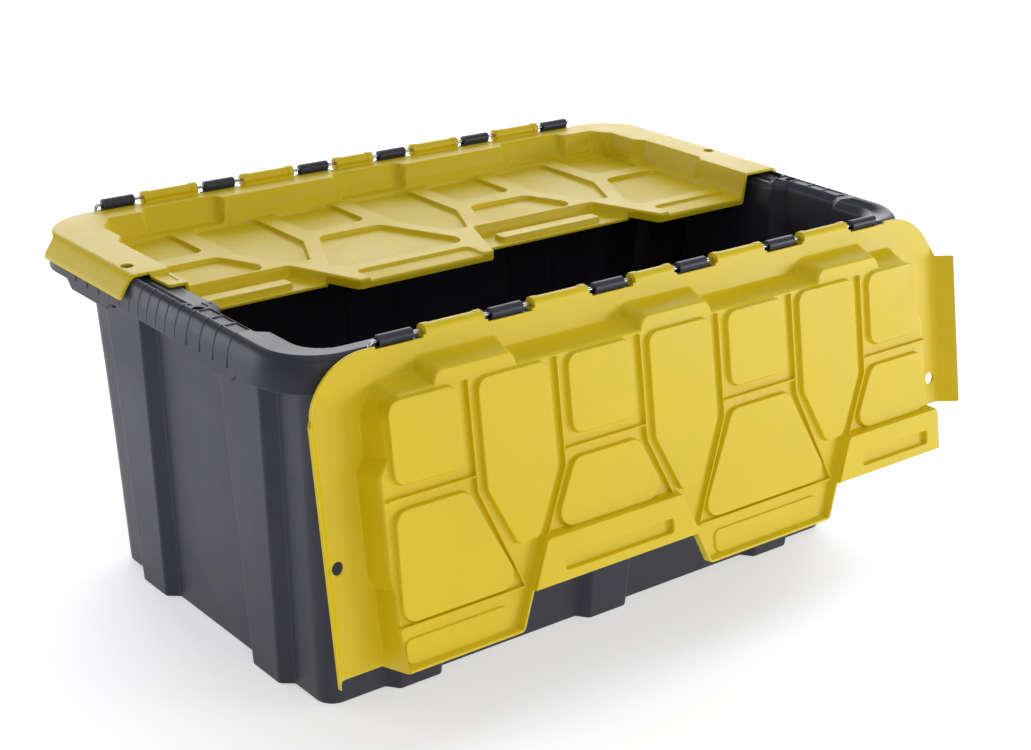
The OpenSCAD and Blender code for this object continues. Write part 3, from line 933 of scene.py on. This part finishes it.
    def barrels(self) -> Draft:
        """Return the hinge barrels with their collars."""
        draft = Draft()
        for a, b in self.barrel_spans():
            bore, thin, thick, w = BORE_RADIUS, 4.75, 5.3, 6.0
            draft.lathe([(a, bore), (a, thick - 0.5), (a + 0.15, thick - 0.15), (a + 0.5, thick),
                         (a + w - 0.4, thick), (a + w, thick - 0.1), (a + w + 0.3, thin),
                         (b - w - 0.3, thin), (b - w, thick - 0.1), (b - w + 0.4, thick),
                         (b - 0.5, thick), (b - 0.15, thick - 0.15), (b, thick - 0.5),
                         (b, bore)], (0.0, 0.0))
        return draft

    def build(self) -> bpy.types.Object:
        """Make the lid in its place and dress it.

        Returns:
            The lid's object.
        """
        draft = self.plate()
        draft.join(self.barrels())
        swing = (Matrix.Translation((0, -self.middle, HINGE_Z))
                 @ Matrix.Rotation(math.radians(self.opening), 4, "X"))
        if self.half_turn:
            swing = Matrix.Rotation(math.pi, 4, "Z") @ swing
        obj = draft.turned(swing).piece(f"{self.name}_moulding", self.name, "lid_plastic",
                                        self.yellow)
        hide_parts(self.name)
        return obj


# ---------------------------------------------------------------- tote

@dataclass
class Tote:
    """The black tote: tapered tub with pilasters, wide rim, skirt and hinge knuckles."""

    black: bpy.types.Material
    top: float = 301.0
    base_x: float = 274.0
    base_y: float = 162.4
    lean_x: float = 19.0
    lean_y: float = 19.6
    wall: float = 3.0
    proud: float = 10.0
    floor: float = 3.5
    columns: tuple[float, ...] = (-192.8, 0.0, 192.8)
    side_columns: tuple[float, ...] = (-90.0, 90.0)
    arc_x: float = 274.5
    arc_y: float = 152.0
    hinge_y: float = HINGE_Y
    hinge_z: float = HINGE_Z
    knuckles: tuple[float, ...] = KNUCKLES
    ridges: tuple[float, ...] = (43.0, 60.0, 79.0, 98.0, 118.0)
    ridge: float = 0.4

    def girdle(self, z: float, inset: float = 0.0, inside: bool = False) -> np.ndarray:
        """Return the tub's plan at a height, with the same points at every height.

        Args:
            z: the height.
            inset: how far the plan is pulled in all round.
            inside: whether the inner face is wanted.

        Returns:
            The plan's points with their height.
        """
        t = z / self.top
        wall = self.wall if inside else 0.0
        hx = self.base_x + self.lean_x * t - wall - inset
        hy = self.base_y + self.lean_y * t - wall - inset
        corner = 15 + 17 * t - wall * 0.6 - 0.5 * inset
        flare = 10.0 * min(max((z - 268) / 20, 0.0), 1.0)
        foot = 27 + 13 * t + 0.5 * flare - (2.2 if inside else 0.0) - 0.6 * inset
        face = 19.5 + 11 * t + flare - (2.0 if inside else 0.0) - 0.6 * inset
        return self.plan(hx, hy, corner, foot, face, self.proud, z, flare)

    def plan(self, hx: float, hy: float, corner: float, foot: float, face: float, proud: float,
             z: float, flare: float) -> np.ndarray:
        """Lay out a rounded rectangle with pilasters at the columns.

        Args:
            hx: half length between the pilasters.
            hy: half width between the pilasters.
            corner: corner radius.
            foot: half width of a pilaster at the wall.
            face: half width of a pilaster at its face.
            proud: how far a pilaster stands out.
            z: the plan's height.
            flare: how much wider the long sides' pilasters are than the ends' ones.

        Returns:
            The plan's points with their height.
        """
        def side(marks: Sequence[float], extra: Sequence[float], less: float) -> list:
            """List the corners of one side in order."""
            out = [(mark + s * w, d, r) for mark in marks
                   for s, w, d, r in ((-1, foot - 0.5 * less, 0.0, 4.0),
                                      (-1, face - less, proud, 4.5), (1, face - less, proud, 4.5),
                                      (1, foot - 0.5 * less, 0.0, 4.0))]
            out += [(e, 0.0, 0.0) for e in extra]
            return sorted(out, key=lambda row: row[0])

        long = side(self.columns, (), 0.0)
        short = side(self.side_columns, (-45.4, -44.2, -43.0, -41.8, 41.8, 43.0, 44.2, 45.4), flare)
        pts = [(x, -hy - d, r) for x, d, r in long]
        pts += [(hx, -hy, corner)] + [(hx + d, y, r) for y, d, r in short]
        pts += [(hx, hy, corner)] + [(-x, hy + d, r) for x, d, r in long]
        pts += [(-hx, hy, corner)] + [(-hx - d, -y, r) for y, d, r in short]
        pts += [(-hx, -hy, corner)]
        ring = rounded(pts, 6)
        return np.column_stack([ring, np.full(len(ring), z)])

    def mouth(self) -> np.ndarray:
        """Return the edge of the opening in the rim's top."""
        return self.plan(296.5, 183.0, 34.0, 43.0, 39.6, 8.0, self.top, 7.0)

    def lowered(self, rows: np.ndarray) -> np.ndarray:
        """Lower the rim's edge beside the handle bars.

        Args:
            rows: points with their heights.

        Returns:
            The lowered points.
        """
        out = rows.copy()
        near = swell(46.0 - np.abs(rows[:, 1]), 1.2) - swell(44.0 - np.abs(rows[:, 1]), 1.2)
        fall = np.where(np.abs(rows[:, 0]) > 250, near / 2, 0.0)
        out[:, 2] -= 3.0 * fall * np.clip((rows[:, 2] - 290) / 11, 0, 1)
        return out

    def tub(self) -> Draft:
        """Return the walls, the floor and the rolled lip of the opening."""
        draft = Draft()
        heights = [(0.0, 1.6), (0.2, 1.0), (0.6, 0.5), (1.2, 0.15), (2.2, 0.0)]
        outer = [self.girdle(z, inset) for z, inset in heights]
        outer += [self.girdle(z) for z in (60, 120, 180, 240, 268, 278, 288, 297.6)]
        draft.loft(outer)
        count = len(outer[0])
        draft.add(outer[0], [tuple(range(count))[::-1]])
        f = self.floor
        inner = [self.girdle(f, 7.0, True), self.girdle(f + 0.5, 4.3, True),
                 self.girdle(f + 2.0, 2.1, True), self.girdle(f + 4.3, 0.6, True),
                 self.girdle(f + 7.5, 0.0, True)]
        inner += [self.girdle(z, 0.0, True) for z in (60, 120, 180, 240, 268, 278, 288, 291)]
        last, edge = self.girdle(294, 0.0, True), self.mouth()
        for t, rise in ((0.0, 0.0), (0.10, 0.22), (0.30, 0.50), (0.60, 0.80), (0.82, 0.95),
                        (1.0, 1.0)):
            ring = last * (1 - t) + edge * t
            ring[:, 2] = 294 + 7 * rise
            inner.append(self.lowered(ring))
        draft.loft(inner)
        draft.add(inner[0], [tuple(range(count))])
        return draft

    def rim_outline(self, reach: float) -> np.ndarray:
        """Return the rim's rounded rectangle at a radius from its corner arcs.

        Args:
            reach: radius at the corners.
        """
        stops = [-150, -132, -124, -118, -100, -80, -66, -58, -40, -20]
        stops += [0.0] + [-s for s in stops[::-1]]
        out: list[Point] = []
        for k, (sx, sy) in enumerate(((1, -1), (1, 1), (-1, 1), (-1, -1))):
            a0 = -90 + 90 * k
            for a in np.radians(np.linspace(a0, a0 + 90, 17)):
                out.append((sx * self.arc_x + reach * math.cos(a),
                            sy * self.arc_y + reach * math.sin(a)))
            if k in (0, 2):
                s = 1 if k == 0 else -1
                out += [(s * (self.arc_x + reach), s * float(y)) for y in stops]
        return np.array(out)

    def drop(self, rows: np.ndarray) -> np.ndarray:
        """Return how much deeper the skirt hangs over the side columns."""
        y = np.abs(rows[:, 1])
        block = np.clip((y - 58) / 8, 0, 1) * np.clip((132 - y) / 8, 0, 1)
        return np.where(np.abs(rows[:, 0]) > 300, 7.0 * block, 0.0)

    def skirt(self) -> Draft:
        """Return the rim's rounded edge and skirt."""
        section = [(41.5, 301.0), (43.0, 300.3), (44.2, 299.4), (45.3, 298.3), (46.1, 297.2),
                   (46.8, 295.9), (48.5, 291.4), (50.0, 286.8), (51.35, 276.2), (51.3, 275.4),
                   (50.9, 275.0), (49.4, 275.0), (49.0, 275.5), (47.2, 287.6), (45.0, 292.8),
                   (43.0, 296.4), (40.0, 297.6)]
        rings = []
        for reach, z in section:
            ring = self.rim_outline(reach)
            rows = np.column_stack([ring, np.full(len(ring), z)])
            if z < 280:
                rows[:, 2] -= self.drop(rows)
            rings.append(rows)
        draft = Draft()
        draft.loft(rings)
        return draft

    def rim_top(self) -> Draft:
        """Return the rim's top sheet with its cells, lock holes and handle slots."""
        mouth = self.lowered(self.mouth())
        hole = Loop(mouth[:, :2])
        cells, bars = [], []
        for s in (-1, 1):
            for side in (-1, 1):
                for a, b in zip(self.ridges, self.ridges[1:]):
                    y0, y1 = sorted((side * (a + 0.8), side * (b - 0.8)))
                    x0, x1 = sorted((s * 302.5, s * 315.2))
                    cells.append(box_loop(x0, y0, x1, y1, 1.6))
            x0, x1 = sorted((s * 280.0, s * 309.4))
            bars.append(box_loop(x0, -44.6, x1, 44.6, 1))
        slots = [box_loop(min(s * 307.5, s * 315.4), -42, max(s * 307.5, s * 315.4), 42, 3.5)
                 for s in (-1, 1)]
        locks = [circle_loop(s * 311, t * 55, 5) for s in (-1, 1) for t in (-1, 1)]
        level = Relief(bars, 3.0, -1.0, 1.0, 0.6, Side.BOTH, 0.0)
        sheet = Sheet(Loop(self.rim_outline(41.5)), lambda q: np.full(len(q), self.top),
                      lambda q: np.full(len(q), self.top - 3.0), holes=[hole] + slots + locks,
                      reliefs=[Relief(cells, 0.9, 0.0, 0.9, 0.4, Side.TOP, 0.0, texture=0.6),
                               level], rolled=False)
        draft = Draft()
        sheet.build(draft)
        return draft

    def handles(self) -> Draft:
        """Return the handle bars with the fine comb on their outer side."""
        draft = Draft()
        for s in (-1, 1):
            x0, x1 = sorted((s * 292.0, s * 308.6))
            draft.block((x0, -44.5, 283.0), (x1, 44.5, 297.9), 1.8)
            for y in -40.5 + 1.8 * np.arange(46):
                a, b = sorted((s * 307.6, s * 309.4))
                draft.block((a, y - 0.45, 285.0), (b, y + 0.45, 297.6), 0.3)
        return draft

    def skirt_ribs(self) -> Draft:
        """Return the fine upright ribs on the ends of the skirt."""
        draft = Draft()
        face = [(40.4, 300.8), (41.5, 300.9), (43.0, 300.2), (44.2, 299.3), (45.3, 298.2),
                (46.1, 297.1), (46.8, 295.8), (48.5, 291.3), (49.9, 286.8), (51.1, 277.0)]
        for s in (-1, 1):
            for y in [t * r for t in (-1, 1) for r in self.ridges] + [-28, -14, 0, 14, 28]:
                rings = []
                for k, (r, z) in enumerate(face):
                    r0, z0 = face[max(k - 1, 0)]
                    r1, z1 = face[min(k + 1, len(face) - 1)]
                    out = np.array([z0 - z1, r1 - r0]) / math.hypot(r1 - r0, z1 - z0)
                    rows = [(h * out[0] + r, y + w, h * out[1] + z) for w, h in (
                        (-1.7, -0.8), (-1.7, -0.1), (-0.5, self.ridge), (0.5, self.ridge),
                        (1.7, -0.1), (1.7, -0.8))]
                    rings.append(np.array([(s * (self.arc_x + a), b, c) for a, b, c in rows]))
                draft.loft(rings)
                draft.add(rings[0], [(0, 1, 2, 3, 4, 5)])
                draft.add(rings[-1], [(5, 4, 3, 2, 1, 0)])
        return draft

    def webs(self) -> Draft:
        """Return the webs that tie the skirt to the walls."""
        draft = Draft()
        for s in (-1, 1):
            for t in (-1, 1):
                for y, low in ((61.0, 270.0), (118.5, 270.0), (10.0, 284.0), (45.5, 284.0)):
                    root = 300.9 if 50 < y < 130 else 290.9
                    shape = [(root, low), (322.6, low), (321.6, 286.5), (318.6, 293.0),
                             (316.6, 296.0), (root, 296.6)]
                    draft.prism([(s * x, z) for x, z in shape], t * y - 1.25, t * y + 1.25)
                for k in self.knuckles:
                    for e in (-16.2, 16.2):
                        out = min(abs(k + e - c) for c in self.columns) < 44
                        a, b = sorted((t * (189.3 if out else 179.3), t * 196.8))
                        draft.block((s * (k + e) - 1.25, a, 277.0), (s * (k + e) + 1.25, b, 292.4),
                                    0.4)
        return draft

    def knuckle(self, x: float, side: float) -> Draft:
        """Return one hinge knuckle.

        Args:
            x: its place along the hinge.
            side: -1 for the front, 1 for the rear.
        """
        y, z = side * self.hinge_y, self.hinge_z
        draft = Draft()
        a, b = sorted((y + side * 2.4, y - side * 3.4))
        draft.block((x - 18.5, a, z - 17.0), (x + 18.5, b, z - 4.6), 1.1)
        a, b = sorted((y + side * 3.6, y - side * 3.0))
        draft.block((x - 14.5, a, z - 9.5), (x + 14.5, b, z + 1.6), 0.5)
        h, r, bore = 14.5, 4.4, BORE_RADIUS
        draft.lathe([(x - h, bore), (x - h, r - 0.5), (x - h + 0.15, r - 0.15), (x - h + 0.5, r),
                     (x + h - 0.5, r), (x + h - 0.15, r - 0.15), (x + h, r - 0.5),
                     (x + h, bore)], (y, z))
        return draft

    def build(self) -> list[bpy.types.Object]:
        """Make the tote's pieces and dress them.

        Returns:
            The pieces.
        """
        shell = self.tub()
        shell.join(self.rim_top())
        shell.join(self.skirt())
        made = [shell.piece("tote_shell", "tote", "tote_plastic", self.black)]
        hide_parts("tote")
        fine = self.handles()
        fine.join(self.skirt_ribs())
        fine.join(self.webs())
        made.append(fine.piece("tote_handles_and_ribs", "tote", "tote_plastic", self.black))
        for name, side in (("front", -1.0), ("rear", 1.0)):
            row = Draft()
            for k in self.knuckles:
                for s in (-1, 1):
                    row.join(self.knuckle(s * k, side))
            made.append(row.piece(f"tote_{name}_knuckles", "tote", "tote_plastic", self.black))
        return made


@dataclass
class HingeRod:
    """A straight steel wire with one end bent down, which threads the knuckles."""

    name: str
    side: float
    wire: bpy.types.Material
    radius: float = 1.5
    half: float = 261.5
    tail: float = 13.0
    bend: float = 4.0
    hinge_y: float = HINGE_Y
    hinge_z: float = HINGE_Z

    def build(self) -> bpy.types.Object:
        """Make the rod and dress it.

        Returns:
            The rod's object.
        """
        path = [(self.half - 2.0, 0.0), (self.half - 2.6, 0.0)]
        path += [(x, 0.0) for x in np.linspace(self.half - 4, -self.half + self.bend, 40)]
        for a in np.radians(np.linspace(15, 90, 6)):
            path.append((-self.half + self.bend - self.bend * math.sin(a),
                         -self.bend + self.bend * math.cos(a)))
        path += [(-self.half, -self.tail + 0.6), (-self.half, -self.tail)]
        radii = [self.radius - 0.5] + [self.radius] * (len(path) - 2) + [self.radius - 0.5]
        turns = np.arange(20) * math.pi / 10
        rings = []
        for k, ((x, z), r) in enumerate(zip(path, radii)):
            p0, p1 = path[max(k - 1, 0)], path[min(k + 1, len(path) - 1)]
            way = Vector((p1[0] - p0[0], 0, p1[1] - p0[1])).normalized()
            over = Vector((-way.z, 0, way.x))
            rings.append(np.array([(x + r * math.cos(t) * over.x,
                                    self.side * self.hinge_y + r * math.sin(t),
                                    self.hinge_z + z + r * math.cos(t) * over.z)
                                   for t in turns]))
        draft = Draft()
        draft.loft(rings)
        draft.add(rings[0], [tuple(range(20))])
        draft.add(rings[-1], [tuple(range(20))[::-1]])
        obj = draft.piece(f"{self.name}_wire", "tote", "rod_steel", self.wire)
        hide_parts(self.name)
        return obj


# ---------------------------------------------------------------- light and camera

@dataclass(frozen=True)
class Softbox:
    """A large soft studio light that looks at a point."""

    name: str
    place: tuple[float, float, float]
    aim: tuple[float, float, float]
    size: tuple[float, float]
    watts: float

    def build(self) -> bpy.types.Object:
        """Make the light.

        Returns:
            The light's object.
        """
        lamp = bpy.data.lights.new(self.name, "AREA")
        lamp.shape = "RECTANGLE"
        lamp.size, lamp.size_y = self.size
        lamp.energy = self.watts
        obj = bpy.data.objects.new(self.name, lamp)
        obj.location = self.place
        way = Vector(self.aim) - Vector(self.place)
        obj.rotation_euler = way.to_track_quat("-Z", "Y").to_euler()
        bpy.context.scene.collection.objects.link(obj)
        return obj


@dataclass
class Studio:
    """White paper sweep, soft lights, pale surroundings and the camera."""

    lights: tuple[Softbox, ...] = (
        Softbox("rear_panel", (2.0, 2.5, 1.5), (0.1, 0.1, 0.3), (4.8, 2.4), 98.0),
        Softbox("overhead_panel", (0.1, -0.4, 2.4), (0.0, 0.0, 0.3), (2.0, 1.4), 10.5),
        Softbox("left_rear_panel", (-2.0, 2.3, 0.62), (-0.3, 0.0, 0.2), (1.6, 1.1), 20.0),
        Softbox("front_panel", (-0.5, -2.3, 1.25), (0.0, 0.1, 0.2), (1.6, 1.0), 10.5),
        Softbox("right_panel", (2.2, -2.0, 0.42), (0.2, -0.2, 0.2), (1.5, 0.75), 31.0),
    )
    surroundings: float = 0.31

    def sweep(self) -> None:
        """Lay the paper floor."""
        mesh = bpy.data.meshes.new("paper_sweep")
        n, size = 24, 9.0
        rows = [((i / n - 0.5) * size, (j / n - 0.5) * size, -0.0002)
                for j in range(n + 1) for i in range(n + 1)]
        faces = [(j * (n + 1) + i, j * (n + 1) + i + 1, (j + 1) * (n + 1) + i + 1,
                  (j + 1) * (n + 1) + i) for j in range(n) for i in range(n)]
        mesh.from_pydata(rows, [], faces)
        mesh.materials.append(PaperSweep("white_paper", "f6f6f7").make())
        floor = bpy.data.objects.new("paper_sweep", mesh)
        bpy.context.scene.collection.objects.link(floor)

    def world(self) -> None:
        """Set the pale surroundings."""
        world = bpy.data.worlds.new("studio")
        world.use_nodes = True
        tree = world.node_tree
        dim = tree.nodes["Background"]
        dim.inputs["Color"].default_value = linear("f4f6ff")
        dim.inputs["Strength"].default_value = self.surroundings
        seen = add_node(tree, "ShaderNodeBackground", {"Color": (1.0, 1.0, 1.0, 1.0),
                                                       "Strength": 1.02})
        ray = add_node(tree, "ShaderNodeLightPath")
        mix = add_node(tree, "ShaderNodeMixShader", {}, {
            0: ray.outputs["Is Camera Ray"], 1: dim.outputs[0], 2: seen.outputs[0]})
        tree.links.new(mix.outputs[0], tree.nodes["World Output"].inputs["Surface"])
        bpy.context.scene.world = world

    def camera(self) -> None:
        """Place the camera."""
        lens = bpy.data.cameras.new("camera")
        lens.lens, lens.sensor_width = 67.5, 36.0
        lens.clip_start, lens.clip_end = 0.05, 50.0
        obj = bpy.data.objects.new("camera", lens)
        right, up = Vector((0.784, -0.6205, 0.0189)), Vector((0.2118, 0.296, 0.9314))
        back = right.cross(up)
        turn = Matrix((right, up, back)).transposed()
        obj.matrix_world = Matrix.Translation((-0.968, -1.247, 0.776)) @ turn.to_4x4()
        bpy.context.scene.collection.objects.link(obj)
        bpy.context.scene.camera = obj

    def build(self) -> None:
        """Make the whole studio."""
        bpy.context.scene.view_settings.view_transform = "Standard"
        self.sweep()
        self.world()
        for light in self.lights:
            light.build()
        self.camera()


def main() -> None:
    """Build every piece in order and report it."""
    logging.basicConfig(level=logging.INFO, format="%(name)s: %(message)s")
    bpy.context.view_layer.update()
    finishes = Finishes(
        black=MouldedPolypropylene("tote_polypropylene_black", "36373d", "303136",
                                   shine=0.38, shine_tint="e4e8ff").make(),
        yellow=MouldedPolypropylene("lid_polypropylene_yellow", "dbc107", "ceb405",
                                    shine=0.38).make(),
        wire=ZincPlatedWire("hinge_wire_zinc", "c9cacc").make())
    made = Tote(finishes.black).build()
    made += [Lid("front_lid", 260.0, False, finishes.yellow).build(),
             Lid("rear_lid", 0.0, True, finishes.yellow).build(),
             HingeRod("front_hinge_rod", -1.0, finishes.wire).build(),
             HingeRod("rear_hinge_rod", 1.0, finishes.wire).build()]
    for obj in made:
        LOG.info("%s: %d faces", obj.name, len(obj.data.polygons))
    Studio().build()


if __name__ == "__main__":
    main()
